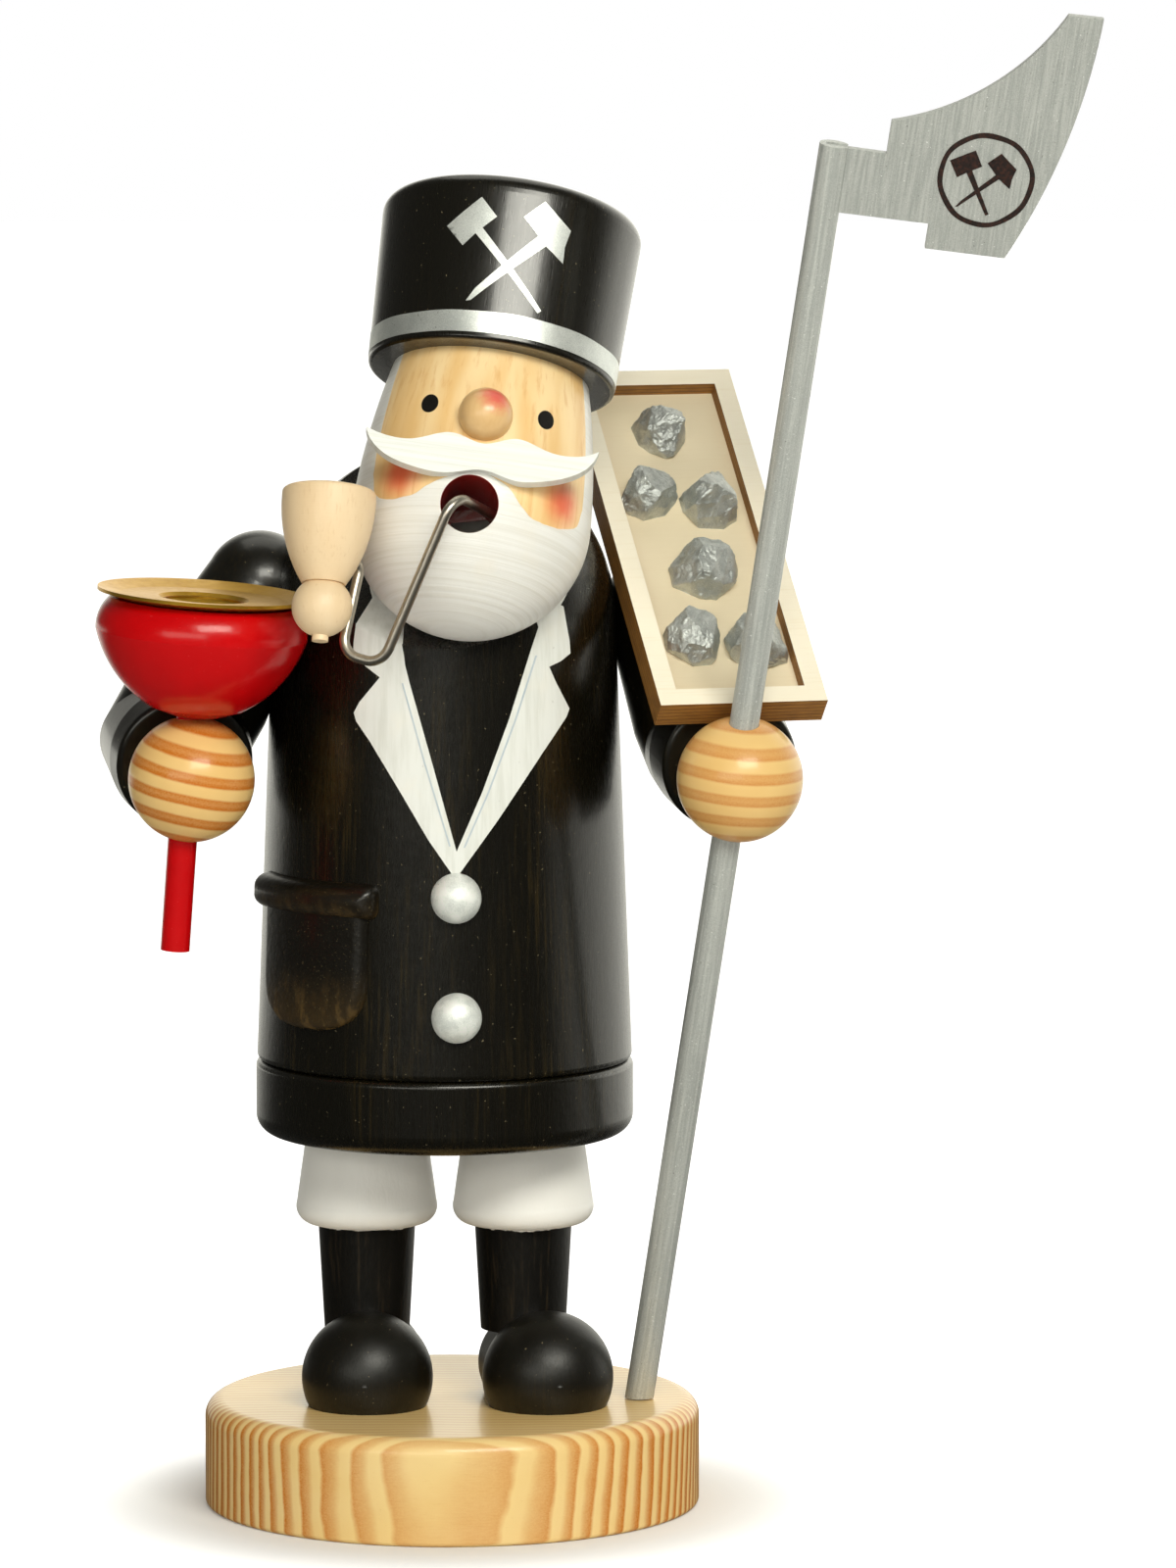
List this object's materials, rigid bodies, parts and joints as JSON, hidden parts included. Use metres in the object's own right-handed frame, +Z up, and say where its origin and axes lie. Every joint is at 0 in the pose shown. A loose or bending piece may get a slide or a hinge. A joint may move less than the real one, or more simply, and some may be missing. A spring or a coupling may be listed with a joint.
{
  "type": "incense smoker",
  "caption": "Turned wooden miner incense smoker with a lift-off upper body, candle lamp, ore tray, pipe and parade axe.",
  "frame": {"origin": "middle of the base disc's underside", "axes": "+Z up, the figure looks along -Y, its right hand is on the -X side"},
  "size_m": [0.1969, 0.1179, 0.3016],
  "materials": {
    "pine": "satin clear lacquer over striped pine",
    "black_lacquer": "semi-gloss black stain with grain showing",
    "boots_and_breeches": "white breeches above black boots, satin paint",
    "bare_dowel": "bare turned beech",
    "painted_head": "white beard and hair over clear wood, satin",
    "nose_wood": "clear wood with a red blush",
    "white_paint": "satin white paint",
    "silver_paint": "metallic silver paint on wood",
    "red_lacquer": "gloss red lacquer",
    "brass": "bright spun brass",
    "bare_beech": "bare turned beech, fine sanded",
    "steel_wire": "bright drawn wire",
    "tin_plate": "pressed tin plate",
    "nail_steel": "bright nail",
    "birch_ply": "bare laser-cut plywood with brown edges"
  },
  "bodies": {
    "lower_half": {"base_disc": "pine", "right_shoe": "black_lacquer", "left_shoe": "black_lacquer", "right_leg": "boots_and_breeches", "left_leg": "boots_and_breeches", "lower_body": "black_lacquer", "incense_plate": "tin_plate", "plate_nail": "nail_steel"},
    "upper_half": {"coat": "black_lacquer", "pocket_pouch": "black_lacquer", "pocket_flap": "black_lacquer", "upper_button": "silver_paint", "lower_button": "silver_paint", "right_shoulder_dowel": "bare_dowel", "left_shoulder_dowel": "bare_dowel", "right_upper_arm": "black_lacquer", "left_upper_arm": "black_lacquer", "right_forearm": "black_lacquer", "left_forearm": "black_lacquer", "right_wrist_dowel": "bare_dowel", "left_wrist_dowel": "bare_dowel", "right_hand": "pine", "left_hand": "pine", "lamp_handle": "red_lacquer", "lamp_bowl": "red_lacquer", "candle_cup": "brass", "wax_saucer": "brass", "head": "painted_head", "nose": "nose_wood", "moustache": "white_paint", "hat": "black_lacquer", "pipe_stem": "steel_wire", "pipe_bowl": "bare_beech", "pipe_ball": "bare_beech", "tray_floor": "birch_ply", "tray_frame": "birch_ply", "staff": "silver_paint", "axe_blade": "silver_paint", "ore_stone_1": "silver_paint", "ore_stone_2": "silver_paint", "ore_stone_3": "silver_paint", "ore_stone_4": "silver_paint", "ore_stone_5": "silver_paint", "ore_stone_6": "silver_paint"}
  },
  "joints": [
    {"name": "lift_off", "type": "slide", "parent": "lower_half", "child": "upper_half", "axis": [0, 0, 1], "range_m": [0, 0.045]}
  ]
}
